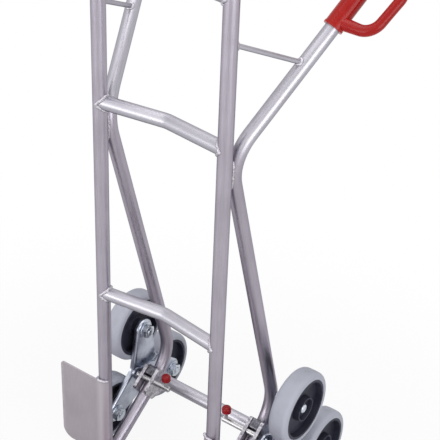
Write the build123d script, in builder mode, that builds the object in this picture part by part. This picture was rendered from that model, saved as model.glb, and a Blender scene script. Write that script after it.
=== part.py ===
"""Stair climbing hand truck: welded aluminium frame on two three-wheel stars with slide-bolt locks.

Millimetres. +X is the right side seen from the load, +Y the operator's side, +Z up. The origin lies on the
floor, on the centre plane, under the axes of the uprights. Pieces are made for the right side and mirrored.
"""
import os
from math import asin, atan2, cos, degrees, hypot, radians, sin, sqrt, tan

from build123d import *

# Frame tubes
tube_dia = 30.0
tube_wall = 2.5
upright_half = 151.5
frame_height = 1300.0
weld_gap = 0.05

# Crossbars
crossbar_dia = 30.0
crossbar_wall = 2.5
crossbar_bow = 20.0
crossbar_bend = 60.0
lower_bar_height = 518.0
upper_bar_height = 975.0
top_bar_drop = 30.0

# End plugs of the uprights
plug_flange = 4.0
plug_depth = 25.0
plug_fit = 0.1
plug_round = 2.0

# Rear tubes: foot of the upright, axle bend, welded contact, handle
strut_lean = 16.7
leg_rise = 36.1
axle_bend = 95.0
contact_bend = 105.0
contact_height = 945.0
handle_lean = 42.6
handle_splay = 18.75
handle_length = 450.0

# Brace rods
brace_dia = 10.0
brace_drop = 115.0
brace_reach = 226.0

# Wheels and stars
wheel_dia = 175.0
wheel_width = 47.0
arm_length = 124.0
arm_end = 27.0
arm_root = 48.0
arm_crotch = 25.0
sheet = 4.0
press_radius = 7.0
flange_depth = 12.0
wheel_gap = 2.2
guard_clearance = 3.5

# Wheel rims, tyres and bearings
rim_seat = 72.0
rim_band = 6.0
rim_inset = 1.5
rim_web = 14.0
hub_ring = 28.5
hub_ring_width = 3.0
hub_ring_rise = 9.5
hub_face = 12.0
hub_boss = 18.0
bearing_dia = 24.0
tyre_crown = 1.2
tyre_shoulder = 11.5
draft = 2.0

# Wheel bolts
bolt_dia = 16.0
bolt_head_dia = 22.0
bolt_head = 7.0
bolt_spare = 3.0
nut_size = 30.0
nut_height = 12.0
washer_dia = 40.0
washer_thickness = 2.5
hole_clearance = 0.2
running = 0.05
end_play = 0.3

# Axle and its brackets
shaft_dia = 20.0
axle_dia = 30.0
shaft_under_leg = 0.5
cheek_thickness = 8.0
saddle_depth = 3.0
cheek_nose = 18.0
cheek_corner = 8.0
cheek_top = 37.0
cheek_rear = 12.0
cheek_front = 57.0
cheek_chin = 9.0
block_front = 13.0
block_top = 33.0
block_corner = 4.0
bush_dia = 26.0
hub_dia = 40.0
hub_spare = 1.0
collar_dia = 34.0
collar_width = 8.0
shaft_spare = 4.0
shaft_chamfer = 1.0

# Slide-bolt lock
lock_dia = 14.0
lock_along = 22.0
lock_leg_gap = 4.7
lock_length = 96.0
lock_tip_in = 2.5
lock_tip_chamfer = 2.0
left_lock_start = 16.0
lock_pin_dia = 8.0
lock_pin_inset = 10.0
lock_pin_length = 35.0
knob_dia = 22.0
knob_height = 17.0
knob_lift = 16.0
knob_dome = 7.0
lock_plate_gap = 13.5
lock_plate_thickness = 5.0
lock_plate_hub = 31.0
ear_width = 26.0
lock_play = 0.5
web_gap = 9.0

# Wheel guards
guard_sheet = 4.0
guard_reach = 118.0
guard_bottom = 60.0
guard_top = 282.0
guard_wrap = 65.0
guard_top_corner = 8.0
guard_foot_corner = 28.0

# Toe plate
toe_margin = 13.5
toe_reach = 265.0
toe_heel_margin = 9.0
toe_thickness = 5.0
toe_upstand = 45.0
toe_bend = 5.0
toe_corner = 30.0
toe_heel_corner = 8.0
toe_bevel = 2.5
toe_flange_gap = 6.5
toe_flange_corner = 15.0
toe_relief = 3.0

# Grips
grip_dia = 39.0
grip_length = 142.0
grip_end = 5.0
grip_round = 6.0
grip_fit = 0.1
lip_dia = 41.0
lip_width = 5.0
knuckle_bar = 21.5
knuckle_root_dia = 27.5
knuckle_foot = 14.0
knuckle_offset = 74.0
knuckle_rise = 28.0
knuckle_spread = 6.0
knuckle_fall = 14.0
knuckle_bend = 35.0
knuckle_top_bend = 26.0
knuckle_taper = 0.3

# Worked out from the driving sizes
tube_r = tube_dia / 2
wheel_r = wheel_dia / 2
crossbar_r = crossbar_dia / 2
shaft_r = shaft_dia / 2
lock_r = lock_dia / 2
knob_r = knob_dia / 2
rise = radians(leg_rise)
lean = radians(strut_lean)

# Stations along X on the right side, from the frame outwards
inner_cheek_x = upright_half - tube_r + saddle_depth - cheek_thickness
outer_cheek_x = upright_half + tube_r - saddle_depth
cheek_face_x = outer_cheek_x + cheek_thickness
hub_x = cheek_face_x + end_play
lock_plate_x = cheek_face_x + lock_plate_gap
web_x = lock_plate_x + lock_plate_thickness + web_gap
flange_x = web_x + flange_depth
hub_end_x = flange_x + hub_spare
wheel_x = flange_x + wheel_gap + wheel_width / 2
boss_x = web_x + sheet + end_play

# Star centre: two wheels stand on the floor, and the sweep clears the wheel guard
star_y = arm_length + wheel_r + guard_clearance - tube_r
star_z = wheel_r + arm_length * sin(radians(30))
arm_angles = (90, 210, 330)
arm_names = ("top", "front", "rear")

# The leg of the rear tube passes over the axle
axle_drop = tube_r + shaft_r + shaft_under_leg
leg_along = Vector(0, -cos(rise), -sin(rise))
leg_up = Vector(0, -sin(rise), cos(rise))
star_centre = Vector(0, star_y, star_z)
leg_point = star_centre + leg_up * axle_drop
leg_foot_z = leg_point.Z - leg_point.Y * tan(rise)

# Corner where strut and handle meet: the bend touches the back of the upright
handle_dir = Vector(tan(radians(handle_splay)), tan(radians(handle_lean)), 1).normalized()
strut_dir = Vector(0, -sin(lean), cos(lean))
bend_half = radians(strut_dir.get_angle(handle_dir)) / 2
bend_normal = strut_dir.cross(handle_dir).normalized()
bend_centre = (handle_dir - strut_dir).normalized() * (contact_bend / cos(bend_half))
contact_y = tube_dia + weld_gap - bend_centre.Y + contact_bend * sqrt(1 - bend_normal.Y**2)
contact_corner = Vector(upright_half, contact_y, contact_height)

# Corner where strut and leg meet, behind the axle
axle_corner_y = (contact_y + (contact_height - leg_foot_z) * tan(lean)) / (1 + tan(rise) * tan(lean))
axle_corner = Vector(upright_half, axle_corner_y, leg_foot_z + axle_corner_y * tan(rise))
leg_foot = Vector(upright_half, 0, leg_foot_z)
handle_end = contact_corner + handle_dir * handle_length

# Lock bolt axis, ahead of the leg and clear of it
lock_above = tube_r + lock_r + lock_leg_gap
lock_point = leg_point + leg_along * lock_along + leg_up * lock_above
lock_offset = lock_point - star_centre
lock_radius = hypot(lock_offset.Y, lock_offset.Z)
lock_angle = degrees(atan2(lock_offset.Z, lock_offset.Y))
lock_tip_x = outer_cheek_x + lock_tip_in
lock_tail_x = lock_tip_x - lock_length


def side_plane(x):
    """Plane square to X through the star centre, local x to the rear and local y up."""
    return Plane(origin=(x, star_y, star_z), x_dir=(0, 1, 0), z_dir=(1, 0, 0))


def save(piece, name):
    piece.label = name
    export_step(piece, f"parts/{name}.step")


def save_pair(piece, name):
    save(piece, f"right_{name}")
    save(mirror(piece, about=Plane.YZ), f"left_{name}")


def rear_path():
    """Centre line of the rear tube, from the foot of the upright to the end of the handle."""
    with BuildLine() as line:
        FilletPolyline(leg_foot, axle_corner, contact_corner, handle_end, radius=[axle_bend, contact_bend])
    return line.line


def upright_cut(height):
    """Cylinder round the right upright near a height, for the mouth of a tube welded to it there."""
    with BuildPart() as cut:
        with Locations((upright_half, 0, height)):
            Cylinder(tube_r + weld_gap, 6 * tube_dia)
    return cut.part


os.makedirs("parts", exist_ok=True)
path = rear_path()
path_start = Plane(origin=path @ 0, z_dir=path % 0)

# The rear tube as a full bar, to cut the mouths and saddles of what is welded to it
with BuildPart() as rear_bar:
    with BuildSketch(path_start):
        Circle(tube_r + weld_gap)
    sweep(path=path)

# Uprights, let into the toe plate and flush with its underside
with BuildPart() as upright:
    with BuildSketch():
        with Locations((upright_half, 0)):
            Circle(tube_r)
            Circle(tube_r - tube_wall, mode=Mode.SUBTRACT)
    extrude(amount=frame_height - plug_flange)
save_pair(upright.part, "upright")

# Plastic plugs in the top ends of the uprights
upright_spots = [(-upright_half, 0), (upright_half, 0)]
with BuildPart() as plugs:
    with BuildSketch(Plane.XY.offset(frame_height - plug_flange)):
        with Locations(*upright_spots):
            Circle(tube_r)
    extrude(amount=plug_flange)
    fillet(plugs.edges().group_by(Axis.Z)[-1], plug_round)
    with BuildSketch(Plane.XY.offset(frame_height - plug_flange - plug_depth)):
        with Locations(*upright_spots):
            Circle(tube_r - tube_wall - plug_fit)
    extrude(amount=plug_depth)
save(plugs.part, "top_plugs")

# Crossbars, bowed to the rear, mouths cut to the uprights
for name, height in (
    ("lower_crossbar", lower_bar_height),
    ("upper_crossbar", upper_bar_height),
    ("top_crossbar", frame_height - top_bar_drop),
):
    left_end = (-upright_half, 0, height)
    middle = (0, crossbar_bow, height)
    right_end = (upright_half, 0, height)
    with BuildPart() as crossbar:
        with BuildLine() as bar_path:
            FilletPolyline(left_end, middle, right_end, radius=crossbar_bend)
        with BuildSketch(Plane(origin=bar_path.line @ 0, z_dir=bar_path.line % 0)):
            Circle(crossbar_r)
            Circle(crossbar_r - crossbar_wall, mode=Mode.SUBTRACT)
        sweep(path=bar_path.line)
        with Locations((-upright_half, 0, height), (upright_half, 0, height)):
            Cylinder(tube_r + weld_gap, 2 * crossbar_dia, mode=Mode.SUBTRACT)
    save(crossbar.part, name)

# Rear tubes
with BuildPart() as rear_tube:
    with BuildSketch(path_start):
        Circle(tube_r)
        Circle(tube_r - tube_wall, mode=Mode.SUBTRACT)
    sweep(path=path)
    add(upright_cut(leg_foot_z), mode=Mode.SUBTRACT)
save_pair(rear_tube.part, "rear_tube")

# Brace rods from the upright to the handle
brace_height = frame_height - brace_drop
brace_top = Vector(upright_half, 0, brace_height)
brace_foot = contact_corner + handle_dir * brace_reach
with BuildPart() as brace:
    with BuildSketch(Plane(origin=brace_top, z_dir=brace_foot - brace_top)):
        Circle(brace_dia / 2)
    extrude(amount=(brace_foot - brace_top).length)
    add(upright_cut(brace_height), mode=Mode.SUBTRACT)
    add(rear_bar.part, mode=Mode.SUBTRACT)
save_pair(brace.part, "brace_rod")

# Wheel guards: a flat wing ahead of the star, rolled round the front of the upright
guard_back = tube_r + weld_gap
guard_face = guard_back + guard_sheet
wrap_end = radians(-90 - guard_wrap)
wrap_mid = radians(-90 - guard_wrap / 2)
with BuildPart() as guard:
    with BuildSketch(Plane.XY.offset(guard_bottom)):
        with BuildLine(Plane(origin=(upright_half, 0, guard_bottom))):
            Line((guard_reach, -guard_back), (guard_reach, -guard_face))
            Line((guard_reach, -guard_face), (0, -guard_face))
            ThreePointArc(
                (0, -guard_face),
                (guard_face * cos(wrap_mid), guard_face * sin(wrap_mid)),
                (guard_face * cos(wrap_end), guard_face * sin(wrap_end)),
            )
            Line(
                (guard_face * cos(wrap_end), guard_face * sin(wrap_end)),
                (guard_back * cos(wrap_end), guard_back * sin(wrap_end)),
            )
            ThreePointArc(
                (guard_back * cos(wrap_end), guard_back * sin(wrap_end)),
                (guard_back * cos(wrap_mid), guard_back * sin(wrap_mid)),
                (0, -guard_back),
            )
            Line((0, -guard_back), (guard_reach, -guard_back))
        make_face()
    extrude(amount=guard_top - guard_bottom)
    corners = guard.edges().filter_by(Axis.Y).group_by(Axis.X)[-1].sort_by(Axis.Z)
    fillet(corners[0], guard_foot_corner)
    corners = guard.edges().filter_by(Axis.Y).group_by(Axis.X)[-1].sort_by(Axis.Z)
    fillet(corners[-1], guard_top_corner)
save_pair(guard.part, "wheel_guard")

# Toe plate: a blade with round seats for the uprights, its heel turned up between them as a stiffener
toe_width = 2 * (upright_half + tube_r + toe_margin)
toe_flange_half = upright_half - tube_r - toe_flange_gap
toe_heel = tube_r + toe_heel_margin
toe_depth = toe_reach + toe_heel
flange_start = toe_heel - toe_thickness - toe_bend
with BuildPart() as toe:
    with BuildSketch() as blade:
        with Locations((0, toe_heel - toe_depth / 2)):
            Rectangle(toe_width, toe_depth)
        fillet(blade.vertices().group_by(Axis.Y)[0], toe_corner)
        fillet(blade.vertices().group_by(Axis.Y)[-1], toe_heel_corner)
        with Locations((0, toe_heel)):
            Rectangle(2 * (toe_flange_half + toe_relief), 2 * (toe_heel - flange_start), mode=Mode.SUBTRACT)
        with Locations(*upright_spots):
            Circle(tube_r + weld_gap, mode=Mode.SUBTRACT)
    extrude(amount=toe_thickness)
    front_edges = toe.edges().filter_by_position(Axis.Z, toe_thickness - 0.1, toe_thickness + 0.1)
    front_edges = front_edges.filter_by_position(Axis.Y, -toe_reach - 1, -toe_reach + toe_corner)
    chamfer(front_edges, toe_bevel)
    with BuildSketch(Plane.YZ.offset(-toe_flange_half)) as bent_flange:
        with BuildLine():
            Polyline(
                (flange_start, 0),
                (toe_heel, 0),
                (toe_heel, toe_upstand),
                (toe_heel - toe_thickness, toe_upstand),
                (toe_heel - toe_thickness, toe_thickness),
                (flange_start, toe_thickness),
                close=True,
            )
        make_face()
        heel = bent_flange.vertices().sort_by_distance((toe_heel, 0, 0))[0]
        fillet(heel, toe_bend + toe_thickness)
        throat = bent_flange.vertices().sort_by_distance((toe_heel - toe_thickness, toe_thickness, 0))[0]
        fillet(throat, toe_bend)
    extrude(amount=2 * toe_flange_half)
    flange_corners = toe.edges().filter_by(Axis.Y).group_by(Axis.Z)[-1]
    fillet(flange_corners, toe_flange_corner)
save(toe.part, "toe_plate")

# Grips: closed sleeve on the handle with a lip, and a knuckle guard that tapers from its two roots
grip_foot = contact_corner + handle_dir * (handle_length - grip_length)
sideways = (Vector(1, 0, 0) - handle_dir * handle_dir.X).normalized()
grip_base = Plane(origin=grip_foot, z_dir=handle_dir)
knuckle_plane = Plane(origin=grip_foot, x_dir=sideways, z_dir=sideways.cross(handle_dir))
sleeve_length = grip_length + grip_end
knuckle_root_r = knuckle_root_dia / 2
knuckle_bar_r = knuckle_bar / 2
with BuildPart() as grip:
    with BuildSketch(grip_base):
        Circle(grip_dia / 2)
    extrude(amount=sleeve_length)
    fillet(grip.edges().filter_by(GeomType.CIRCLE).sort_by(Axis.Z)[-1], grip_round)
    with BuildSketch(grip_base):
        Circle(lip_dia / 2)
    extrude(amount=lip_width)
    with BuildLine(knuckle_plane) as knuckle_line:
        FilletPolyline(
            (0, knuckle_foot),
            (knuckle_offset, knuckle_rise),
            (knuckle_offset + knuckle_spread, sleeve_length - knuckle_fall),
            (0, sleeve_length - knuckle_root_r),
            radius=[knuckle_bend, knuckle_top_bend],
        )
    bar_line = knuckle_line.line
    for place, radius in (
        (0, knuckle_root_r),
        (knuckle_taper, knuckle_bar_r),
        (1 - knuckle_taper, knuckle_bar_r),
        (1, knuckle_root_r),
    ):
        with BuildSketch(Plane(origin=bar_line @ place, z_dir=bar_line % place)):
            Circle(radius)
    sweep(path=bar_line, multisection=True)
    with BuildSketch(grip_base.offset(-grip_dia)):
        Circle(tube_r + grip_fit)
    extrude(amount=grip_dia + grip_length + weld_gap, mode=Mode.SUBTRACT)
save_pair(grip.part, "grip")

# Axle tube between the brackets, and the shaft through it
with BuildPart() as axle_tube:
    with BuildSketch(side_plane(-inner_cheek_x)):
        Circle(axle_dia / 2)
        Circle(shaft_r + running, mode=Mode.SUBTRACT)
    extrude(amount=2 * inner_cheek_x)
save(axle_tube.part, "axle_tube")

collar_x = hub_end_x + end_play
shaft_end_x = collar_x + collar_width + shaft_spare
with BuildPart() as shaft:
    with BuildSketch(side_plane(-shaft_end_x)):
        Circle(shaft_r)
    extrude(amount=2 * shaft_end_x)
    chamfer(shaft.edges().filter_by(GeomType.CIRCLE), shaft_chamfer)
save(shaft.part, "axle_shaft")

with BuildPart() as collars:
    for start in (collar_x, -collar_x - collar_width):
        with BuildSketch(side_plane(start)):
            Circle(collar_dia / 2)
            Circle(shaft_r, mode=Mode.SUBTRACT)
        extrude(amount=collar_width)
save(collars.part, "axle_end_collars")

# Bracket cheeks: two plates that hold the leg between saddles and carry the axle and the lock bolt
for name, cheek_x in (("inner_cheek", inner_cheek_x), ("outer_cheek", outer_cheek_x)):
    cheek_plane = Plane(
        origin=leg_point + Vector(cheek_x + cheek_thickness, 0, 0),
        x_dir=leg_along,
        z_dir=(-1, 0, 0),
    )
    with BuildPart() as cheek:
        with BuildSketch(cheek_plane):
            with Locations((0, -axle_drop)):
                Circle(cheek_nose)
            with Locations(
                (-cheek_rear + cheek_corner, cheek_top - cheek_corner),
                (cheek_front - cheek_corner, cheek_top - cheek_corner),
                (cheek_front - cheek_corner, cheek_corner - cheek_chin),
            ):
                Circle(cheek_corner)
            make_hull()
            with Locations((0, -axle_drop)):
                Circle(shaft_r, mode=Mode.SUBTRACT)
            with Locations((lock_along, lock_above)):
                Circle(lock_r + running, mode=Mode.SUBTRACT)
        extrude(amount=cheek_thickness)
        add(rear_bar.part, mode=Mode.SUBTRACT)
    save_pair(cheek.part, name)

# Bracket blocks: solid fillers on the leg, between the cheeks and behind the lock bolt
block_plane = Plane(origin=leg_point + Vector(outer_cheek_x, 0, 0), x_dir=leg_along, z_dir=(-1, 0, 0))
block_length = cheek_rear + block_front
with BuildPart() as block:
    with BuildSketch(block_plane) as block_side:
        with Locations((block_front - block_length / 2, block_top / 2)):
            Rectangle(block_length, block_top)
        fillet(block_side.vertices().group_by(Axis.Y)[-1], block_corner)
    extrude(amount=outer_cheek_x - inner_cheek_x - cheek_thickness)
    add(rear_bar.part, mode=Mode.SUBTRACT)
save_pair(block.part, "bracket_block")

# Slide bolt with an upright pin and a red cap. The left one rests pushed nearer to its star.
bolt_tail = Plane(origin=(lock_tail_x, lock_point.Y, lock_point.Z), z_dir=(1, 0, 0))
pin_base = Plane(origin=(lock_tail_x + lock_pin_inset, lock_point.Y, lock_point.Z))
with BuildPart() as lock_bolt:
    with BuildSketch(bolt_tail):
        Circle(lock_r)
    extrude(amount=lock_length)
    chamfer(lock_bolt.edges().filter_by(GeomType.CIRCLE), lock_tip_chamfer)
    with BuildSketch(pin_base):
        Circle(lock_pin_dia / 2)
    extrude(amount=lock_dia, mode=Mode.SUBTRACT)

with BuildPart() as lock_pin:
    with BuildSketch(pin_base):
        Circle(lock_pin_dia / 2)
    extrude(amount=lock_pin_length)

with BuildPart() as lock_knob:
    with BuildSketch(pin_base.offset(lock_r + knob_lift)):
        Circle(knob_r)
    extrude(amount=knob_height)
    fillet(lock_knob.edges().group_by(Axis.Z)[-1], knob_dome)
    fillet(lock_knob.edges().group_by(Axis.Z)[0], knob_dome / 3)
    with BuildSketch(pin_base.offset(lock_r)):
        Circle(lock_pin_dia / 2)
    extrude(amount=lock_pin_length - lock_r, mode=Mode.SUBTRACT)

for piece, name in ((lock_bolt, "lock_bolt"), (lock_pin, "lock_pin"), (lock_knob, "lock_knob")):
    save(piece.part, f"right_{name}")
    save(mirror(Pos(left_lock_start, 0, 0) * piece.part, about=Plane.YZ), f"left_{name}")

# Spider: pressed three-arm channel, open to the wheels, with a hub tube welded through it.
# The arms taper, and the pocket behind them keeps one sheet thickness all round.
taper = asin((arm_root - arm_end) / arm_length)
with BuildPart() as spider:
    for inset, plane_x in ((0, web_x), (sheet, web_x + sheet)):
        root_r = arm_root - inset
        end_r = arm_end - inset
        with BuildSketch(side_plane(plane_x)) as star_outline:
            Circle(root_r)
            with PolarLocations(0, 3, start_angle=arm_angles[0]):
                Polygon(
                    (root_r * sin(taper), root_r * cos(taper)),
                    (arm_length + end_r * sin(taper), end_r * cos(taper)),
                    (arm_length + end_r * sin(taper), -end_r * cos(taper)),
                    (root_r * sin(taper), -root_r * cos(taper)),
                    align=None,
                )
            with PolarLocations(arm_length, 3, start_angle=arm_angles[0]):
                Circle(end_r)
            fillet(star_outline.vertices().sort_by_distance((0, 0, 0))[:3], arm_crotch + inset)
        if inset == 0:
            extrude(amount=flange_depth)
            fillet(spider.faces().sort_by(Axis.X)[0].outer_wire().edges(), press_radius)
        else:
            extrude(amount=flange_depth, mode=Mode.SUBTRACT)
    with BuildSketch(side_plane(hub_x)):
        Circle(hub_dia / 2)
    extrude(amount=hub_end_x - hub_x)
    with BuildSketch(side_plane(hub_x)):
        Circle(bush_dia / 2)
    extrude(amount=hub_end_x - hub_x, mode=Mode.SUBTRACT)
    with BuildSketch(side_plane(web_x)):
        with PolarLocations(arm_length, 3, start_angle=arm_angles[0]):
            Circle(bolt_dia / 2 + hole_clearance)
    extrude(amount=sheet, mode=Mode.SUBTRACT)
save_pair(spider.part, "star_spider")

with BuildPart() as bush:
    with BuildSketch(side_plane(hub_x)):
        Circle(bush_dia / 2)
        Circle(shaft_r + running, mode=Mode.SUBTRACT)
    extrude(amount=hub_end_x - hub_x)
save_pair(bush.part, "hub_bush")

# Lock plate: three ears between the arms, each with a hole for the slide bolt
with BuildPart() as lock_plate:
    with BuildSketch(side_plane(lock_plate_x)):
        with PolarLocations(lock_radius / 2, 3, start_angle=lock_angle):
            SlotCenterToCenter(lock_radius, ear_width)
        Circle(lock_plate_hub)
        Circle(hub_dia / 2, mode=Mode.SUBTRACT)
        with PolarLocations(lock_radius, 3, start_angle=lock_angle):
            Circle(lock_r + lock_play, mode=Mode.SUBTRACT)
    extrude(amount=lock_plate_thickness)
save_pair(lock_plate.part, "lock_plate")

# Wheel bolts, washers and nuts, three of each on a star
washer_x = web_x - washer_thickness
nut_x = washer_x - nut_height
head_x = wheel_x + hub_face + end_play
with BuildPart() as wheel_bolts:
    with BuildSketch(side_plane(nut_x - bolt_spare)):
        with PolarLocations(arm_length, 3, start_angle=arm_angles[0]):
            Circle(bolt_dia / 2)
    extrude(amount=head_x - nut_x + bolt_spare)
    with BuildSketch(side_plane(head_x)):
        with PolarLocations(arm_length, 3, start_angle=arm_angles[0]):
            Circle(bolt_head_dia / 2)
    extrude(amount=bolt_head)
    fillet(wheel_bolts.edges().filter_by(GeomType.CIRCLE).group_by(Axis.X)[-1], bolt_head / 2)
save_pair(wheel_bolts.part, "wheel_bolts")

with BuildPart() as wheel_washers:
    with BuildSketch(side_plane(washer_x)):
        with PolarLocations(arm_length, 3, start_angle=arm_angles[0]):
            Circle(washer_dia / 2)
            Circle(bolt_dia / 2, mode=Mode.SUBTRACT)
    extrude(amount=washer_thickness)
save_pair(wheel_washers.part, "wheel_washers")

with BuildPart() as wheel_nuts:
    with BuildSketch(side_plane(nut_x)):
        with PolarLocations(arm_length, 3, start_angle=arm_angles[0]):
            RegularPolygon(nut_size / 2, 6, major_radius=False)
            Circle(bolt_dia / 2, mode=Mode.SUBTRACT)
    extrude(amount=nut_height)
save_pair(wheel_nuts.part, "wheel_nuts")

# Wheels: profiles along the wheel axis, turned round each bolt
half_width = wheel_width / 2
rim_half = half_width - rim_inset
web_half = rim_web / 2
boss_end = boss_x - wheel_x
bearing_r = bearing_dia / 2
ring_foot = hub_ring - hub_ring_width
for arm_name, angle in zip(arm_names, arm_angles):
    centre_y = star_y + arm_length * cos(radians(angle))
    centre_z = star_z + arm_length * sin(radians(angle))
    wheel_plane = Plane(origin=(wheel_x, centre_y, centre_z), x_dir=(1, 0, 0), z_dir=(0, 0, 1))
    wheel_axis = Axis((wheel_x, centre_y, centre_z), (1, 0, 0))

    with BuildPart() as rim:
        with BuildSketch(wheel_plane):
            with BuildLine():
                Polyline(
                    (boss_end, bearing_r),
                    (boss_end, hub_boss),
                    (-hub_face, hub_boss),
                    (-hub_face, ring_foot),
                    (-web_half, hub_ring),
                    (-web_half, rim_seat - rim_band - draft),
                    (-rim_half, rim_seat - rim_band),
                    (-rim_half, rim_seat),
                    (rim_half, rim_seat),
                    (rim_half, rim_seat - rim_band),
                    (web_half, rim_seat - rim_band - draft),
                    (web_half, hub_ring + draft),
                    (hub_face + hub_ring_rise, hub_ring),
                    (hub_face + hub_ring_rise, ring_foot),
                    (hub_face, ring_foot - draft),
                    (hub_face, bearing_r),
                    close=True,
                )
            make_face()
        revolve(axis=wheel_axis)
    save_pair(rim.part, f"{arm_name}_rim")

    with BuildPart() as tyre:
        with BuildSketch(wheel_plane) as section:
            with BuildLine():
                Polyline(
                    (-half_width, wheel_r - tyre_crown),
                    (-half_width, rim_seat + rim_inset),
                    (-rim_half, rim_seat),
                    (rim_half, rim_seat),
                    (half_width, rim_seat + rim_inset),
                    (half_width, wheel_r - tyre_crown),
                )
                ThreePointArc(
                    (half_width, wheel_r - tyre_crown), (0, wheel_r), (-half_width, wheel_r - tyre_crown)
                )
            make_face()
            shoulders = section.vertices().group_by(Axis.Y)[-1]
            fillet(shoulders, tyre_shoulder)
        revolve(axis=wheel_axis)
    save_pair(tyre.part, f"{arm_name}_tyre")

    with BuildPart() as bearing:
        with BuildSketch(Plane(origin=(boss_x, centre_y, centre_z), x_dir=(0, 1, 0), z_dir=(1, 0, 0))):
            Circle(bearing_r)
            Circle(bolt_dia / 2 + running, mode=Mode.SUBTRACT)
        extrude(amount=hub_face - boss_end)
    save_pair(bearing.part, f"{arm_name}_bearing")

print(f"star centre y {star_y:.1f} z {star_z:.1f}, lock at y {lock_point.Y:.1f} z {lock_point.Z:.1f}")
print(f"lock radius {lock_radius:.1f} at {lock_angle:.1f} degrees, handle end {handle_end}")
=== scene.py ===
import math
import random

import bmesh
import bpy
from mathutils import Matrix, Vector
from mathutils.bvhtree import BVHTree


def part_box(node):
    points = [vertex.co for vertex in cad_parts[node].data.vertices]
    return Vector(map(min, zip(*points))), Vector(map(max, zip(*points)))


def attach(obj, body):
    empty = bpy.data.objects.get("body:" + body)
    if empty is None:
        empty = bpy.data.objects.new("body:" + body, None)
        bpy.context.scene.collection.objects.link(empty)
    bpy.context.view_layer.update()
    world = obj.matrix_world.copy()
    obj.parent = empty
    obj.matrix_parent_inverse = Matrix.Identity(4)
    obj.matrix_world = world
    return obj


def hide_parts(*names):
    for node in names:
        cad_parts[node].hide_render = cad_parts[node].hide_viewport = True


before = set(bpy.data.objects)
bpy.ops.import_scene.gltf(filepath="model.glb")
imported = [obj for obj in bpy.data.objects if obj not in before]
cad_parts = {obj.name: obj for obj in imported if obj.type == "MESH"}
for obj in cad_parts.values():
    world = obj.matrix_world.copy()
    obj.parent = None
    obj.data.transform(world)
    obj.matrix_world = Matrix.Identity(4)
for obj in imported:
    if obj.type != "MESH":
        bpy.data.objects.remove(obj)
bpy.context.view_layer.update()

# Uprights
# Two straight aluminium tubes that carry the whole frame. They are drawn through a die, which leaves fine
# lines along them, and stay bare, so the metal is satin and a little cloudy.
tube_radius = 0.015
upright_x = 0.1515
upward = Vector((0, 0, 1))
# The uprights turn to the painted lit copy of their tones near their tops.
upright_lit_span = (1.2, 1.8)
die_lines = 620
scuff_way = (0.5, 0.5, 0.7)
tube_dark = (0.36, 0.33, 0.385)
tube_light = (0.44, 0.41, 0.47)
# A painted lit copy of the tube tones, lighter and cooler, that stands in for the lamps' reflection.
lit_copy_dark = (0.39, 0.379, 0.422)
lit_copy_light = (0.47, 0.457, 0.503)
metal_rim = (0.60, 0.58, 0.62, 1)


class Shade:
    """A socket of a material that can stand in sums, or the node tree that a finish starts from."""

    def __init__(self, tree, socket=None):
        self.tree = tree
        self.socket = socket

    def node(self, kind, settings, inputs, output=0):
        """Adds one node: its settings first, then the values or links of its sockets."""
        made = self.tree.nodes.new("ShaderNode" + kind)
        for key, value in settings.items():
            setattr(made, key, value)
        for key, value in inputs.items():
            if isinstance(value, Shade):
                self.tree.links.new(value.socket, made.inputs[key])
            else:
                made.inputs[key].default_value = value
        return Shade(self.tree, made.outputs[output] if made.outputs else None)

    def math(self, operation, first, second):
        """Adds one Math node for two values."""
        return self.node("Math", {"operation": operation}, {0: first, 1: second})

    def __add__(self, other):
        return self.math("ADD", self, other)

    def __radd__(self, other):
        return self.math("ADD", other, self)

    def __sub__(self, other):
        return self.math("SUBTRACT", self, other)

    def __rsub__(self, other):
        return self.math("SUBTRACT", other, self)

    def __mul__(self, other):
        return self.math("MULTIPLY", self, other)

    def __rmul__(self, other):
        return self.math("MULTIPLY", other, self)

    def __abs__(self):
        return self.math("ABSOLUTE", self, 0.0)

    def step(self, low, high):
        """A smooth step from 0 at low to 1 at high."""
        ends = {"Value": self, "From Min": low, "From Max": high}
        return self.node("MapRange", {"interpolation_type": "SMOOTHSTEP"}, ends)

    def tint(self, none, full):
        """A colour that goes from none to full as this value goes from 0 to 1. A Mix node takes its colours
        on inputs 6 and 7 and gives one on output 2."""
        ends = [colour if isinstance(colour, Shade) else (*colour, 1) for colour in (none, full)]
        return self.node("Mix", {"data_type": "RGBA"}, {0: self, 6: ends[0], 7: ends[1]}, 2)


def start_finish(name):
    """A new material with an empty node tree, and the place on the surface in metres."""
    material = bpy.data.materials.new(name)
    material.use_nodes = True
    material.node_tree.nodes.clear()
    place = Shade(material.node_tree).node("TexCoord", {}, {}, "Object")
    return material, place


def end_finish(material, sockets):
    """Closes a material with one surface shader that takes these values and links."""
    surface = Shade(material.node_tree).node("BsdfPrincipled", {}, sockets)
    surface.node("OutputMaterial", {}, {"Surface": surface})
    return material


def along_axis(place, axis):
    """How far a place lies along X, Y or Z."""
    return place.node("SeparateXYZ", {}, {"Vector": place}, axis)


def grain(place, lumps, detail=2.0):
    """Noise from 0 to 1 with so many lumps to a metre."""
    return place.node("TexNoise", {}, {"Vector": place, "Scale": lumps, "Detail": detail})


def drawn_out(place, along, share=0.03):
    """The place with its run along a direction pressed to a share, so that grain there turns into lines."""
    run = place.node("VectorMath", {"operation": "DOT_PRODUCT"}, {0: place, 1: along}, "Value")
    shift = run.node("VectorMath", {"operation": "SCALE"}, {0: along, "Scale": run * (1 - share)})
    return place.node("VectorMath", {"operation": "SUBTRACT"}, {0: place, 1: shift})


def relief(height, strength, depth):
    """A surface direction from a height of 0 to 1, with its depth in metres."""
    return height.node("Bump", {}, {"Height": height, "Strength": strength, "Distance": depth})


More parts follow.
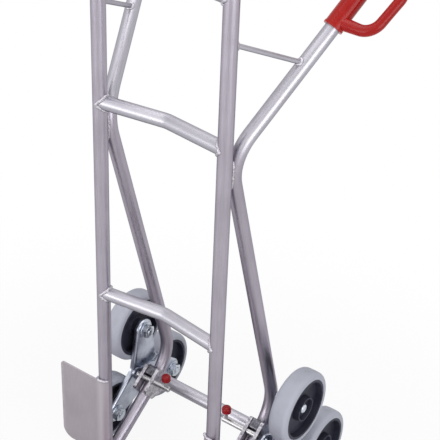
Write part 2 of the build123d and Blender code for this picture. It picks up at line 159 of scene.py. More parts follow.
def drawn_aluminium(name, along, lit_span, bends=(), axis="Z"):
    """Bare drawn tube, which turns paler between two places on an axis: a painted lit tone of the same
    metal.
    Past each bend, a direction and two places on that axis, its lines turn that way."""
    material, place = start_finish(name)
    reach = along_axis(place, axis)
    lines = grain(drawn_out(place, along), die_lines)
    for turned, low, high in bends:
        past = reach.step(low, high)
        lines = lines * (1 - past) + grain(drawn_out(place, turned), die_lines) * past
    cloud = grain(place, lumps=11, detail=4)
    scuffs = grain(drawn_out(place, scuff_way, share=0.06), lumps=190, detail=1).step(0.66, 0.74)
    tone = (lines * 0.55 + cloud * 0.45).step(0.3, 0.7)
    warm_metal = tone.tint(tube_dark, tube_light)
    lit_copy_metal = tone.tint(lit_copy_dark, lit_copy_light)
    sockets = {
        "Base Color": reach.step(*lit_span).tint(warm_metal, lit_copy_metal),
        "Metallic": 1.0,
        "Specular Tint": metal_rim,
        "Roughness": 0.28 + lines * 0.10 + cloud * 0.08 + scuffs * 0.05,
        "Normal": relief(lines + scuffs * 0.4, strength=0.05, depth=0.0004),
    }
    return end_finish(material, sockets)


def dress(material, *nodes):
    """Gives solids of the frame their finish."""
    for node in nodes:
        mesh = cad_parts[node].data
        mesh.materials.clear()
        mesh.materials.append(material)


upright_metal = drawn_aluminium("upright_aluminium", upward, upright_lit_span)
dress(upright_metal, "left_upright", "right_upright")

# Top plugs
# Black plastic plugs pressed into the open ends of the uprights, so that no water gets in. They are moulded
# with a fine spark-eroded grain and are held by friction.
plug_dark = (0.012, 0.012, 0.013)
plug_light = (0.022, 0.022, 0.024)
plug_plastic, place = start_finish("plug_plastic")
plug_pits = grain(place, lumps=1500, detail=1)
plug_sockets = {
    "Base Color": grain(place, lumps=60).tint(plug_dark, plug_light),
    "Roughness": 0.5 + plug_pits * 0.15,
    "Normal": relief(plug_pits, strength=0.3, depth=0.0003),
}
dress(end_finish(plug_plastic, plug_sockets), "top_plugs")

# Crossbars
# Three aluminium tubes between the uprights, each with one bend so that a round load nests against them.
# Their mouths are cut to the uprights and welded all round by hand, in bright lumpy beads.
sides = {"left": -1, "right": 1}
bar_bow = 0.020
bar_bend = (-0.008, 0.008)
# The crossbars take the painted lit copy of the tube tones all along.
bar_lit_span = (-1, -0.9)
bead_size = 0.0038
bead_pitch = 0.0038
bead_step = 0.0009
bead_sides = 10
bead_sway = 0.1
bead_valley = 0.84
bead_crown = 0.24
bead_tip = 0.15
lap_start = 0.12
lap_run = 0.8
least_scale = 0.86
largest_scale = 1.12
smooth_limit = math.radians(40)
weld_clean = (0.47, 0.45, 0.49)
weld_sooty = (0.33, 0.31, 0.345)


def new_piece(name, verts, faces, material, body):
    """A mesh piece in the frame's own metres, that rides on a body and takes a finish."""
    mesh = bpy.data.meshes.new(name)
    mesh.from_pydata(verts, [], faces)
    form = bmesh.new()
    form.from_mesh(mesh)
    bmesh.ops.recalc_face_normals(form, faces=form.faces)
    form.to_mesh(mesh)
    form.free()
    mesh.polygons.foreach_set("use_smooth", [True] * len(mesh.polygons))
    mesh.set_sharp_from_angle(angle=smooth_limit)
    mesh.materials.append(material)
    piece = bpy.data.objects.new(name, mesh)
    bpy.context.scene.collection.objects.link(piece)
    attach(piece, body)
    return piece


def skin(start, rows, count, closed):
    """Faces over rows of points, so many to a row: closed on themselves, or capped at both ends."""
    faces = []
    for row in range(rows if closed else rows - 1):
        here = start + row * count
        there = start + (row + 1) % rows * count
        for i in range(count):
            j = (i + 1) % count
            faces.append((here + i, here + j, there + j, there + i))
    if not closed:
        faces.append(tuple(range(start, start + count)))
        faces.append(tuple(range(start + (rows - 1) * count, start + rows * count)))
    return faces


def saddle(centre, along, radius, trunk_along, trunk_radius, count=48):
    """The closed line where a tube that starts at centre meets a larger tube through the same point."""
    along = along.normalized()
    trunk = trunk_along.normalized()
    first = along.cross(trunk).normalized()
    second = along.cross(first)
    run = along - trunk * along.dot(trunk)
    points = []
    for i in range(count):
        turn = 2 * math.pi * i / count
        out = (first * math.cos(turn) + second * math.sin(turn)) * radius
        flat = out - trunk * out.dot(trunk)
        half = flat.dot(run)
        rest = half * half - run.length_squared * (flat.length_squared - trunk_radius**2)
        reach = (math.sqrt(max(rest, 0)) - half) / run.length_squared
        points.append(centre + out + along * reach)
    return points


def evenly(points, spacing, closed):
    """Points at an even spacing along a line of straight runs."""
    corners = points + points[:1] if closed else points
    lengths = [(b - a).length for a, b in zip(corners, corners[1:])]
    count = max(4, round(sum(lengths) / spacing))
    spots = []
    run = 0
    passed = 0
    for i in range(count if closed else count + 1):
        wanted = sum(lengths) * i / count
        while run < len(lengths) - 1 and passed + lengths[run] < wanted:
            passed += lengths[run]
            run += 1
        spots.append(corners[run].lerp(corners[run + 1], (wanted - passed) / lengths[run]))
    return spots


def scale_swell(share):
    """How thick one scale of a bead is at a share of its length: low where the next one laps over it."""
    turn = math.pi * (lap_start + lap_run * share)
    return bead_valley + bead_crown * math.sqrt(math.sin(turn))


def weld_bead(name, points, size, closed, lift=None, carrier=None):
    """A hand-laid bead along a line: a row of overlapping scales, none quite like the next. Its crown faces
    the lift, or away from the line's middle. A carrier other than the aluminium frame is given by its
    metal, its body and its slot; the slot is not used."""
    spots = evenly(points, bead_step, closed)
    middle = sum(points, Vector()) / len(points)
    hand = random.Random(name)
    count = round(len(spots) * bead_step / bead_pitch) + 2
    scales = [hand.uniform(least_scale, largest_scale) for _ in range(count)]
    sways = []
    for _ in range(count):
        sway = Vector((hand.gauss(0, 1), hand.gauss(0, 1), hand.gauss(0, 1)))
        sways.append(sway * size * bead_sway)
    verts = []
    for i, spot in enumerate(spots):
        before = spots[i - 1] if closed or i else spot
        after = spots[(i + 1) % len(spots)] if closed or i + 1 < len(spots) else spot
        along = (after - before).normalized()
        out = spot - middle if lift is None else lift
        out = (out - along * out.dot(along)).normalized()
        across = along.cross(out)
        scale, share = divmod(i * bead_step / bead_pitch, 1)
        scale = int(scale)
        thick = size * scales[scale] * scale_swell(share)
        if not closed:
            end = min(i, len(spots) - 1 - i) * bead_step / size
            thick *= math.sqrt(min(1, bead_tip + end))
        centre = spot + sways[scale]
        for side in range(bead_sides):
            turn = 2 * math.pi * side / bead_sides
            verts.append(centre + (out * math.cos(turn) + across * math.sin(turn)) * thick)
    faces = skin(0, len(spots), bead_sides, closed)
    metal, body, slot = carrier or (weld_metal, "frame", "aluminium")
    return new_piece(name, verts, faces, metal, body)


weld_metal, place = start_finish("weld_aluminium")
puddle = grain(place, lumps=420, detail=3)
soot = grain(place, lumps=150, detail=2).step(0.55, 0.75)
weld_sockets = {
    "Base Color": soot.tint(weld_clean, weld_sooty),
    "Metallic": 1.0,
    "Roughness": 0.34 + puddle * 0.22,
    "Normal": relief(puddle, strength=0.5, depth=0.0008),
}
end_finish(weld_metal, weld_sockets)

bar_left = Vector((upright_x, bar_bow, 0)).normalized()
bar_right = Vector((upright_x, -bar_bow, 0)).normalized()
bar_metal = drawn_aluminium("crossbar_aluminium", bar_left, bar_lit_span, [(bar_right, *bar_bend)], "X")
for bar in ("lower_crossbar", "upper_crossbar", "top_crossbar"):
    dress(bar_metal, bar)
    low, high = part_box(bar)
    bar_radius = (high.z - low.z) / 2
    for side, sign in sides.items():
        upright_end = Vector((sign * upright_x, 0, (low.z + high.z) / 2))
        to_middle = Vector((-sign * upright_x, bar_bow, 0))
        mouth = saddle(upright_end, to_middle, bar_radius, upward, tube_radius)
        weld_bead(f"{side}_{bar}_weld", mouth, bead_size, True)

# Rear tubes
# One tube a side, bent twice: it leaves the foot of the upright, runs over the axle, climbs as a strut,
# touches the back of the upright, where two long beads hold it, and leans out as the handle.
leg_rise = math.radians(36.1)
strut_lean = math.radians(16.7)
handle_lean = math.radians(42.6)
handle_splay = math.radians(18.75)
axle_under_leg = 0.0255
contact_z = 0.945
contact_y = 0.0175
strut_bend = (0.24, 0.30)
handle_bend = (contact_z - 0.03, contact_z + 0.05)
seam_low = 0.862
seam_high = 0.948
seam_step = 0.002
crevice = 0.0052
crevice_step = 0.0005
nearest_step = 2
parted_step = 4
furthest_step = 26
ray_reach = 0.05
contact_bead = bead_size * 0.85

axle_low, axle_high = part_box("axle_shaft")
axle = (axle_low + axle_high) / 2
leg_along = Vector((0, math.cos(leg_rise), math.sin(leg_rise)))
leg_up = Vector((0, -math.sin(leg_rise), math.cos(leg_rise)))
leg_point = axle + leg_up * axle_under_leg
leg_foot_z = leg_point.z - leg_point.y * math.tan(leg_rise)
strut_along = Vector((0, -math.sin(strut_lean), math.cos(strut_lean)))
rearward = Vector((0, 1, 0))
handle_along = {}


def crevice_line(node, x, sign):
    """Points up the narrow gap between the back of an upright and the rear tube, on one side of it, where
    the gap is as wide as a bead. Where it opens near the middle, the tubes have parted and get no point."""
    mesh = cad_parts[node].data
    tree = BVHTree.FromPolygons([v.co for v in mesh.vertices], [p.vertices for p in mesh.polygons])
    points = []
    for i in range(round((seam_high - seam_low) / seam_step)):
        z = seam_low + seam_step * i
        for step in range(nearest_step, furthest_step + 1):
            out = crevice_step * step
            y = math.sqrt(tube_radius**2 - out**2)
            hit = tree.ray_cast(Vector((x + sign * out, y, z)), rearward, ray_reach)[0]
            if hit and hit.y - y > crevice:
                break
        if hit and step > parted_step:
            points.append(Vector((x + sign * out, (y + hit.y) / 2, z)))
    return points


for side, sign in sides.items():
    handle_along[side] = Vector((sign * math.tan(handle_splay), math.tan(handle_lean), 1)).normalized()
    turns = (strut_along, *strut_bend), (handle_along[side], *handle_bend)
    # Past the handle bend the tube takes the painted lit copy of its tones.
    tube_metal = drawn_aluminium(f"{side}_rear_tube_aluminium", leg_along, handle_bend, turns)
    dress(tube_metal, f"{side}_rear_tube")
    foot = Vector((sign * upright_x, 0, leg_foot_z))
    foot_mouth = saddle(foot, leg_along, tube_radius, upward, tube_radius)
    weld_bead(f"{side}_leg_foot_weld", foot_mouth, bead_size, True)
    for face, way in (("inner", -sign), ("outer", sign)):
        line = crevice_line(f"{side}_rear_tube", sign * upright_x, way)
        weld_bead(f"{side}_{face}_contact_weld", line, contact_bead, False, Vector((way, 0, 0)))

# Brace rods
# Thin solid aluminium rods between the top of the upright and the handle, which keep the handle from
# bending down. They are cut to the tubes and welded at both ends with small beads.
brace_top_z = 1.185
brace_reach = 0.226
brace_radius = 0.005
# The brace takes the painted lit copy of the tube tones towards its top.
brace_lit_span = (0.5, 0.9)
small_bead = 0.0036
for side, sign in sides.items():
    brace_top = Vector((sign * upright_x, 0, brace_top_z))
    brace_foot = Vector((sign * upright_x, contact_y, contact_z)) + handle_along[side] * brace_reach
    brace_along = brace_foot - brace_top
    brace_metal = drawn_aluminium(f"{side}_brace_aluminium", brace_along.normalized(), brace_lit_span)
    dress(brace_metal, f"{side}_brace_rod")
    top_mouth = saddle(brace_top, brace_along, brace_radius, upward, tube_radius)
    weld_bead(f"{side}_brace_top_weld", top_mouth, small_bead, True)
    low_mouth = saddle(brace_foot, -brace_along, brace_radius, handle_along[side], tube_radius)
    weld_bead(f"{side}_brace_foot_weld", low_mouth, small_bead, True)

# Wheel guards
# Aluminium sheet wings that keep the load off the star wheels. One edge is rolled round the upright and
# welded to it along its top and bottom, and the rolled sheet keeps a soft grain under a painted highlight.
guard_sheet = 0.004
guard_wrap = math.radians(65)
guard_wrap_steps = 14
guard_weld_reach = 0.010
guard_weld_radius = tube_radius + guard_sheet * 0.6
guard_wear = 0.4
guard_edge = (0.258, 0.271)
# The rolled part round the upright gets a painted highlight, a lighter band.
guard_highlight_roll = (0.148, 0.168)
no_highlight_roll = (-2, -1)
bead_lift = 0.001
rub_way = (0.8, 0.6, 0.2)
sheet_dark = (0.365, 0.334, 0.365)
sheet_light = (0.427, 0.391, 0.427)
# Polished edges and the painted highlight on the rolled part share this tone.
sheet_polish_and_highlight = (0.53, 0.49, 0.53)


def sheet_aluminium(name, along, wear, axis, edge, highlight_roll=no_highlight_roll):
    """Rolled sheet: matt, cloudy, with a grain one way and a share of rub marks. Loads have polished its
    free edge, between two places on an axis. Nearer to the middle than a roll it has a painted highlight."""
    material, place = start_finish(name)
    lines = grain(drawn_out(place, along, share=0.05), lumps=480)
    cloud = grain(place, lumps=9, detail=5)
    rubs = grain(drawn_out(place, rub_way, share=0.05), lumps=120, detail=3).step(0.60, 0.72) * wear
    reach = abs(along_axis(place, axis))
    worn_edge = reach.step(*edge) * grain(place, lumps=40, detail=5).step(0.15, 0.85)
    # Nearer to the middle than the roll the sheet gets a painted highlight; the worn edge is real polish.
    polish_and_highlight = worn_edge + (1 - reach.step(*highlight_roll)) * 0.9
    tone = (lines * 0.35 + cloud * 0.65).step(0.3, 0.7).tint(sheet_dark, sheet_light)
    sockets = {
        "Base Color": polish_and_highlight.tint(tone, sheet_polish_and_highlight),
        "Metallic": 1.0,
        "Roughness": 0.42 + cloud * 0.14 - rubs * 0.15 - polish_and_highlight * 0.12,
        "Normal": relief(lines + rubs * 0.5, strength=0.1, depth=0.0004),
    }
    return end_finish(material, sockets)


guard_metal = sheet_aluminium("guard_aluminium", upward, guard_wear, "X", guard_edge, guard_highlight_roll)
for side, sign in sides.items():
    guard = f"{side}_wheel_guard"
    dress(guard_metal, guard)
    low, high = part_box(guard)
    for edge, z in (("top", high.z + bead_lift), ("bottom", low.z - bead_lift)):
        line = []
        for i in range(guard_wrap_steps + 1):
            turn = guard_wrap * (1 - i / guard_wrap_steps)
            x = sign * (upright_x - guard_weld_radius * math.sin(turn))
            line.append(Vector((x, -guard_weld_radius * math.cos(turn), z)))
        line.append(Vector((sign * (upright_x + guard_weld_reach), -guard_weld_radius, z)))
        weld_bead(f"{side}_guard_{edge}_weld", line, small_bead, False, upward)

# Toe plate
# The bent plate that slides under the load. It is rolled aluminium with a bevelled front edge, scuffed
# along the way the loads go on, and both uprights are welded to it all round.
plate_thickness = 0.005
toe_wear = 1.0
toe_edge = (0.230, 0.266)
foot_bead = 0.0034
foot_bead_radius = tube_radius + bead_lift
foot_bead_points = 40
sideways = Vector((1, 0, 0))


def circle_line(centre, first, second, radius, count):
    """Points round a circle in the plane of two directions."""
    points = []
    for i in range(count):
        turn = 2 * math.pi * i / count
        points.append(centre + first * (radius * math.cos(turn)) + second * (radius * math.sin(turn)))
    return points


toe_metal = sheet_aluminium("toe_aluminium", rearward, toe_wear, "Y", toe_edge)
dress(toe_metal, "toe_plate")
for side, sign in sides.items():
    seat = Vector((sign * upright_x, 0, plate_thickness + bead_lift))
    foot_ring = circle_line(seat, sideways, rearward, foot_bead_radius, foot_bead_points)
    weld_bead(f"{side}_upright_foot_weld", foot_ring, foot_bead, True)

# Grips
# Red plastic grips pushed over the ends of the handles, closed at the top, each with a bow that guards the
# knuckles. They are moulded with a soft gloss, a faint orange peel and a few rub marks from gloves.
grip_dark = (0.36, 0.007, 0.005)
grip_light = (0.42, 0.012, 0.009)
glove_way = (0.3, 0.7, 0.6)


def red_plastic(name, dark, light):
    """Moulded red plastic: glossy, faintly uneven, duller where hands have rubbed it."""
    material, place = start_finish(name)
    peel = grain(place, lumps=330, detail=2)
    rubbed = grain(place, lumps=26, detail=4).step(0.45, 0.75)
    scratches = grain(drawn_out(place, glove_way, share=0.05), lumps=240, detail=1).step(0.67, 0.72)
    sockets = {
        "Base Color": rubbed.tint(dark, light),
        "Roughness": 0.20 + rubbed * 0.08 + scratches * 0.06,
        "Normal": relief(peel + scratches * 0.5, strength=0.03, depth=0.0006),
        "Specular IOR Level": 0.25,
    }
    return end_finish(material, sockets)


grip_red = red_plastic("grip_red", grip_dark, grip_light)
dress(grip_red, "left_grip", "right_grip")

# Axle
# A steel shaft runs through both brackets and carries the stars, inside an aluminium tube that keeps the
# brackets apart. Plated collars with a grub screw hold the stars on its ends.
shaft_dark = (0.45, 0.45, 0.46)
shaft_light = (0.60, 0.60, 0.61)
# The axle tube takes the painted lit copy of the tube tones towards its right end.
axle_tube_lit_span = (0.0, 0.1)
fastener_dark = (0.44, 0.475, 0.53)
fastener_light = (0.64, 0.68, 0.75)
zinc_stain = (0.52, 0.49, 0.40)
collar_radius = 0.017
collar_half = 0.004
grub_dark = (0.05, 0.05, 0.055)
grub_light = (0.11, 0.11, 0.115)
grub_radius = 0.003
grub_sides = 24
grub_edge = 0.0004
grub_depth = 0.004
grub_proud = 0.0006
socket_half = 0.0014
socket_depth = 0.0018


def bright_steel(name, along, dark, light):
    """Turned or drawn bright steel with fine lines along or round it and a little oil staining."""
    material, place = start_finish(name)
    lines = grain(drawn_out(place, along), lumps=700)
    stain = grain(place, lumps=70, detail=4)
    sockets = {
        "Base Color": (lines * 0.4 + stain * 0.6).step(0.3, 0.7).tint(dark, light),
        "Metallic": 1.0,
        "Roughness": 0.16 + lines * 0.1 + stain * 0.12,
        "Normal": relief(lines, strength=0.1, depth=0.0003),
    }
    return end_finish(material, sockets)


def zinc_plate(name, dark, light, lumps):
    """Bright zinc on steel: bluish, mottled by the bath, with faint yellow stains."""
    material, place = start_finish(name)
    mottle = grain(place, lumps, detail=4)
    fine = grain(place, lumps * 6, detail=2)
    stain = grain(place, lumps * 0.4, detail=3).step(0.62, 0.85)
    blue = mottle.step(0.35, 0.65).tint(dark, light)
    sockets = {
        "Base Color": (stain * 0.35).tint(blue, zinc_stain),
        "Metallic": 1.0,
        "Roughness": 0.19 + mottle * 0.16 + fine * 0.06,
        "Normal": relief(fine + mottle, strength=0.12, depth=0.0005),
    }
    return end_finish(material, sockets)


def ring(x, radius):
    """One round ring of a turned form."""
    return lambda turn: (x, radius)


def hexagon(half, turn):
    """Radius at an angle of a hexagon with so much from its middle to a flat."""
    return half / math.cos((turn + math.pi / 6) % (math.pi / 3) - math.pi / 6)


def socket_ring(x):
    """One ring of the six-sided socket that a key turns a screw by."""
    return lambda turn: (x, hexagon(socket_half, turn))


def lathe(verts, faces, rings, centre, count, closed):
    """Adds a form turned round an X axis. Its rings give x and radius at each angle."""
    start = len(verts)
    for at in rings:
        for i in range(count):
            turn = 2 * math.pi * i / count
            x, radius = at(turn)
            verts.append((x, centre.y + radius * math.cos(turn), centre.z + radius * math.sin(turn)))
    faces += skin(start, len(rings), count, closed)


dress(bright_steel("shaft_steel", sideways, shaft_dark, shaft_light), "axle_shaft")
dress(drawn_aluminium("axle_tube_aluminium", sideways, axle_tube_lit_span), "axle_tube")
dress(zinc_plate("collar_zinc", fastener_dark, fastener_light, lumps=160), "axle_end_collars")

grub_rings = [
    ring(-grub_depth, grub_radius),
    ring(grub_proud - grub_edge, grub_radius),
    ring(grub_proud, grub_radius - grub_edge),
    socket_ring(grub_proud),
    socket_ring(grub_proud - socket_depth),
]
grub_steel = bright_steel("grub_steel", upward, grub_dark, grub_light)
stand_up = Matrix.Rotation(-math.pi / 2, 3, "Y")
collar_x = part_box("axle_end_collars")[1].x - collar_half
verts = []
faces = []
for sign in sides.values():
    start = len(verts)
    lathe(verts, faces, grub_rings, Vector(), grub_sides, False)
    seat = Vector((sign * collar_x, axle.y, axle.z + collar_radius))
    verts[start:] = [stand_up @ Vector(vert) + seat for vert in verts[start:]]
new_piece("collar_grub_screws", verts, faces, grub_steel, "frame")

# Bracket cheeks
# Thick plates on both sides of the leg that hold the axle and guide the lock bolt. They are sawn, tumbled
# to take the edges off and welded to the leg. The block between them is dark: painted shade in the gap.
cheek_dark = (0.22, 0.205, 0.235)
cheek_light = (0.60, 0.575, 0.62)
# The block's dark tones are painted shade for the gap between the cheeks.
block_shade_dark = (0.05, 0.05, 0.062)
block_shade_light = (0.22, 0.215, 0.245)
cheek_gap = 0.012
cheek_bead = 0.0026
seam_rise = math.sqrt(tube_radius**2 - cheek_gap**2)
upper_run = (-0.054, -0.017)
lower_run = (-0.046, 0.010)


def tumbled_metal(name, dark, light):
    """Plate with its edges knocked off in a drum: dented all over, dull and bright in patches."""
    material, place = start_finish(name)
    tumble = grain(place, lumps=210, detail=4)
    dents = grain(place, lumps=75, detail=3)
    sockets = {
        "Base Color": (tumble * 0.6 + dents * 0.4).step(0.32, 0.68).tint(dark, light),
        "Metallic": 1.0,
        "Roughness": 0.2 + tumble * 0.22,
        "Normal": relief(tumble * 0.6 + dents, strength=0.35, depth=0.0011),
    }
    return end_finish(material, sockets)


cheek_metal = tumbled_metal("cheek_metal", cheek_dark, cheek_light)
# The block is dressed dark as painted shade.
block_painted_shade = tumbled_metal("block_painted_shade", block_shade_dark, block_shade_light)
for side, sign in sides.items():
    dress(cheek_metal, f"{side}_inner_cheek", f"{side}_outer_cheek")
    dress(block_painted_shade, f"{side}_bracket_block")
    for cheek, way in (("inner", -sign), ("outer", sign)):
        cheek_face = Vector((sign * upright_x + way * cheek_gap, leg_point.y, leg_point.z))
        for edge, run, rise in (("upper", upper_run, seam_rise), ("lower", lower_run, -seam_rise)):
            seam = cheek_face + leg_up * rise
            line = [seam + leg_along * reach for reach in run]
            weld_bead(f"{side}_{cheek}_{edge}_seam_weld", line, cheek_bead, False, leg_up * rise)

# Slide-bolt lock
# A bright bolt slides through the cheeks into a hole of the star's lock plate and stops the star from
# turning. A pin pressed through its tail carries a red cap to push it with.
lock_dark = (0.36, 0.355, 0.365)
lock_light = (0.50, 0.49, 0.50)
knob_dark = (0.30, 0.006, 0.010)
knob_light = (0.35, 0.010, 0.016)
lock_steel = bright_steel("lock_steel", sideways, lock_dark, lock_light)
knob_red = red_plastic("knob_red", knob_dark, knob_light)
for side in sides:
    dress(lock_steel, f"{side}_lock_bolt", f"{side}_lock_pin")
    dress(knob_red, f"{side}_lock_knob")

# Star spiders
# Each star is one steel sheet pressed into a three-armed channel, with a hub tube welded through its middle
# and a lock plate on the tube, then zinc plated. It turns on a bronze bush.
spider_dark = (0.36, 0.385, 0.45)
spider_light = (0.50, 0.53, 0.615)
bronze_dark = (0.36, 0.20, 0.07)
bronze_light = (0.55, 0.35, 0.14)
hub_radius = 0.020
hub_bead = 0.0026
hub_bead_points = 48
web_depth = 0.009


def inner_outer(node, sign):
    """The x of a node's side towards the middle of the truck, and of the side away from it."""
    low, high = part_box(node)
    return (low.x, high.x) if sign > 0 else (high.x, low.x)


bush_bronze, place = start_finish("bush_bronze")
worn = grain(place, lumps=90, detail=3)
bush_sockets = {
    "Base Color": worn.tint(bronze_dark, bronze_light),
    "Metallic": 1.0,
    "Roughness": 0.3 + worn * 0.2,
    "Normal": relief(worn, strength=0.1, depth=0.0003),
}
end_finish(bush_bronze, bush_sockets)

spider_zinc = zinc_plate("spider_zinc", spider_dark, spider_light, lumps=38)
for side, sign in sides.items():
    dress(spider_zinc, f"{side}_star_spider", f"{side}_lock_plate")
    dress(bush_bronze, f"{side}_hub_bush")
    web_x = inner_outer(f"{side}_star_spider", sign)[1] - sign * web_depth
    plate_x = inner_outer(f"{side}_lock_plate", sign)[0]
    star_metal = spider_zinc, f"{side}_star", "zinc_steel"
    for welded, x in (("hub", web_x), ("lock_plate", plate_x)):
        centre = Vector((x, axle.y, axle.z))
        line = circle_line(centre, rearward, upward, hub_radius, hub_bead_points)
        weld_bead(f"{side}_{welded}_weld", line, hub_bead, True, carrier=star_metal)

# Wheel bolts, washers and nuts
# A plated bolt carries each wheel on the end of its arm. It has a domed head outside, a thick washer on the
# inner face of the arm, and a chamfered hexagon nut that leaves a few turns of thread showing.
arm_length = 0.124
arm_turns = [math.radians(angle) for angle in (90, 210, 330)]
broken_edge = 0.0006
bolt_radius = 0.008
bolt_sides = 40
thread_pitch = 0.002
thread_depth = 0.0009
thread_steps = 8
thread_rings = 19
thread_turns = 2.7
head_radius = 0.011
head_height = 0.007
dome_height = head_height * 0.55
dome_reach = dome_height * 2
dome_steps = 8
hole_radius = bolt_radius + 0.0001
hole_edge = broken_edge * 2
nut_half = 0.0150
nut_seat = 0.0145
nut_chamfer = math.tan(math.radians(30))
nut_sides = 48
washer_radius = 0.020


def nut_corner(x, way):
    """Ring where the turned-off corner of a nut runs out into its flats, from the end face at x."""
    def at(turn):
        radius = hexagon(nut_half, turn)
        return x + way * (radius - nut_seat) * nut_chamfer, radius
    return at


def thread_ring(x):
    """Ring of a thread: a ridge that climbs one pitch in a turn."""
    def at(turn):
        share = (x / thread_pitch - turn / (2 * math.pi)) % 1
        return x, bolt_radius - thread_depth * abs(2 * share - 1)
    return at


fastener_zinc = zinc_plate("fastener_zinc", fastener_dark, fastener_light, lumps=240)
bolt_zinc = zinc_plate("bolt_zinc", fastener_dark, fastener_light, lumps=130)
for side, sign in sides.items():
    nut_in, nut_out = inner_outer(f"{side}_wheel_nuts", sign)
    washer_in, washer_out = inner_outer(f"{side}_wheel_washers", sign)
    bolt_in, bolt_out = inner_outer(f"{side}_wheel_bolts", sign)
    head_in = bolt_out - sign * head_height
    nut_rings = [
        ring(nut_in, nut_seat),
        nut_corner(nut_in, sign),
        nut_corner(nut_out, -sign),
        ring(nut_out, nut_seat),
        ring(nut_out, hole_radius + hole_edge),
        ring(nut_out - sign * hole_edge, hole_radius),
        ring(nut_in + sign * hole_edge, hole_radius),
        ring(nut_in, hole_radius + hole_edge),
    ]
    washer_rings = [
        ring(washer_in, hole_radius),
        ring(washer_in, washer_radius - broken_edge),
        ring(washer_in + sign * broken_edge, washer_radius),
        ring(washer_out - sign * broken_edge, washer_radius),
        ring(washer_out, washer_radius - broken_edge),
        ring(washer_out, hole_radius),
    ]
    bolt_rings = [ring(bolt_in, bolt_radius - thread_depth - broken_edge)]
    for i in range(1, thread_rings + 1):
        bolt_rings.append(thread_ring(bolt_in + sign * i * thread_pitch / thread_steps))
    bolt_rings += [
        ring(bolt_in + sign * thread_turns * thread_pitch, bolt_radius),
        ring(head_in, bolt_radius),
        ring(head_in, head_radius - broken_edge),
        ring(head_in + sign * broken_edge, head_radius),
    ]
    for i in range(dome_steps + 1):
        turn = math.pi / 2 * i / dome_steps
        x = bolt_out - sign * dome_height * (1 - math.sin(turn))
        bolt_rings.append(ring(x, head_radius - dome_reach * (1 - math.cos(turn))))
    groups = {
        "nuts": (nut_rings, nut_sides, True, fastener_zinc),
        "washers": (washer_rings, nut_sides, True, fastener_zinc),
        "bolts": (bolt_rings, bolt_sides, False, bolt_zinc),
    }
    for kind, (rings, count, closed, metal) in groups.items():
        verts = []
        faces = []
        for arm_turn in arm_turns:
            centre = axle + Vector((0, math.cos(arm_turn), math.sin(arm_turn))) * arm_length
            lathe(verts, faces, rings, centre, count, closed)
        name = f"{side}_wheel_{kind}"
        group = new_piece(f"{name}_detailed", verts, faces, metal, f"{side}_star")
        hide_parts(name)

# Wheels
# Six plain wheels: a dark moulded nylon rim with a hub ring, a light grey solid tyre that is moulded onto
# it and doesn't mark floors, and a steel bearing in the hub.
rim_dark = (0.026, 0.027, 0.042)
rim_light = (0.044, 0.046, 0.068)
rim_sheen = (0.78, 0.78, 1.0, 1)
tyre_clean = (0.48, 0.495, 0.575)
tyre_dusty = (0.40, 0.40, 0.43)
tread_fade = (0.010, 0.020)
seam_fade = (0.0003, 0.0009)
bearing_dark = (0.30, 0.30, 0.31)
bearing_light = (0.45, 0.45, 0.46)
tyre_low, tyre_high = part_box("right_top_tyre")
wheel_x = (tyre_low.x + tyre_high.x) / 2

rim_nylon, place = start_finish("rim_nylon")
rim_pits = grain(place, lumps=900, detail=2)
flow = grain(place, lumps=24, detail=3)
rim_sockets = {
    "Base Color": flow.step(0.3, 0.7).tint(rim_dark, rim_light),
    "Roughness": 0.38 + rim_pits * 0.12 + flow * 0.1,
    "Normal": relief(rim_pits, strength=0.15, depth=0.0004),
    "Specular IOR Level": 0.15,
    "Specular Tint": rim_sheen,
}
end_finish(rim_nylon, rim_sockets)

tyre_rubber, place = start_finish("tyre_rubber")
off_centre = abs(abs(along_axis(place, "X")) - wheel_x)
tread = 1 - off_centre.step(*tread_fade)
mould_seam = 1 - off_centre.step(*seam_fade)
rubber_pits = grain(place, lumps=800, detail=3)
dust = grain(place, lumps=45, detail=5).step(0.45, 0.8) * (0.25 + tread * 0.75)
tyre_sockets = {
    "Base Color": (dust * 0.45).tint(tyre_clean, tyre_dusty),
    "Roughness": 0.62 + rubber_pits * 0.15 + dust * 0.1,
    "Normal": relief(rubber_pits * 0.5 + mould_seam, strength=0.2, depth=0.0006),
}
end_finish(tyre_rubber, tyre_sockets)

bearing_steel = bright_steel("bearing_steel", sideways, bearing_dark, bearing_light)
for side in sides:
    for arm in ("top", "front", "rear"):
        dress(rim_nylon, f"{side}_{arm}_rim")
        dress(tyre_rubber, f"{side}_{arm}_tyre")
        dress(bearing_steel, f"{side}_{arm}_bearing")

# Floor, light and camera
# A plain white studio: a seamless pale floor that keeps the shadow, softboxes overhead, at the right and
# low in front, a dim wall of light above that one, and a long lens that looks down from the front right.
white = (1, 1, 1, 1)
paper_white = (0.90, 0.90, 0.90, 1)
floor_half = 12.0
shadow_reach = (0.5, 1.3)
shadow_share = 0.09
mirror_reach = (0.25, 0.8)
mirror_share = 0.5
room_light = 0.25
truck_middle = Vector((0, 0.15, 0.65))
view_turn = math.radians(35.134)
view_drop = math.radians(32.244)
view_roll = math.radians(-2.399)
camera_place = Vector((1.25831, -1.58046, 2.04065))
film_width = 36.0
lens_length = 98.61


def seen_directly(start):
    """1 for rays that show the background itself: from the camera, or by way of a reflection or glass."""
    camera_ray = start.node("LightPath", {}, {}, "Is Camera Ray")
    glossy_ray = start.node("LightPath", {}, {}, "Is Glossy Ray")
    glass_ray = start.node("LightPath", {}, {}, "Is Transmission Ray")
    return start.math("MAXIMUM", start.math("MAXIMUM", camera_ray, glossy_ray), glass_ray)


def softbox(name, spot, width, height, power):
    """A flat area lamp that faces the middle of the truck."""
    lamp = bpy.data.lights.new(name, "AREA")
    lamp.shape = "RECTANGLE"
    lamp.size = width
    lamp.size_y = height
    lamp.energy = power
    holder = bpy.data.objects.new(name, lamp)
    holder.location = spot
    holder.rotation_euler = (truck_middle - spot).to_track_quat("-Z", "Y").to_euler()
    bpy.context.scene.collection.objects.link(holder)


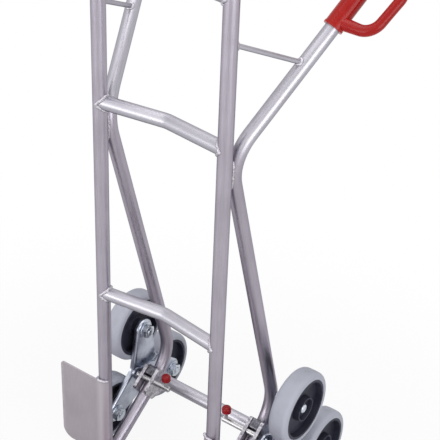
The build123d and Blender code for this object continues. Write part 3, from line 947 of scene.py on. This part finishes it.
floor_mesh = bpy.data.meshes.new("studio_floor")
corners = [(-1, -1), (1, -1), (1, 1), (-1, 1)]
floor_mesh.from_pydata([(x * floor_half, y * floor_half, 0) for x, y in corners], [], [(0, 1, 2, 3)])
floor = bpy.data.objects.new("studio_floor", floor_mesh)
bpy.context.scene.collection.objects.link(floor)

floor_white, place = start_finish("floor_white")
paper = place.node("BsdfDiffuse", {}, {"Color": paper_white})
glow = place.node("Emission", {}, {"Color": white, "Strength": 1.0})
reach = place.node("VectorMath", {"operation": "LENGTH"}, {0: place}, "Value")
shadowed = 1 - reach.step(*shadow_reach)
mirrored = place.node("LightPath", {}, {}, "Is Glossy Ray") * (1 - reach.step(*mirror_reach))
lit = seen_directly(place) * (1 - shadowed * shadow_share) * (1 - mirrored * mirror_share)
blend = place.node("MixShader", {}, {0: lit, 1: paper, 2: glow})
blend.node("OutputMaterial", {}, {"Surface": blend})
floor_mesh.materials.append(floor_white)

world = bpy.data.worlds.new("studio_world")
bpy.context.scene.world = world
world.use_nodes = True
world.node_tree.nodes.clear()
sky = Shade(world.node_tree)
strength = room_light + seen_directly(sky) * (1 - room_light)
backdrop = sky.node("Background", {}, {"Color": white, "Strength": strength})
sky.node("OutputWorld", {}, {"Surface": backdrop})

softbox("overhead_softbox", Vector((0.0, 0.3, 4.0)), width=3.6, height=3.6, power=70)
softbox("front_wall", Vector((-0.8, -4.0, 3.2)), width=5.0, height=4.0, power=38)
softbox("front_softbox", Vector((-1.2, -4.2, 1.1)), width=4.2, height=1.6, power=56)
softbox("right_softbox", Vector((3.4, -1.2, 1.3)), width=2.4, height=2.2, power=45)

forward = Vector((
    -math.sin(view_turn) * math.cos(view_drop),
    math.cos(view_turn) * math.cos(view_drop),
    -math.sin(view_drop),
))
level = forward.cross(upward).normalized()
down = forward.cross(level)
right = level * math.cos(view_roll) + down * math.sin(view_roll)
up = level * math.sin(view_roll) - down * math.cos(view_roll)
lens = bpy.data.cameras.new("camera")
lens.sensor_width = film_width
lens.lens = lens_length
camera = bpy.data.objects.new("camera", lens)
camera_turn = Matrix((right, up, -forward)).transposed().to_4x4()
camera.matrix_world = Matrix.Translation(camera_place) @ camera_turn
bpy.context.scene.collection.objects.link(camera)
bpy.context.scene.camera = camera
bpy.context.scene.view_settings.view_transform = "Standard"
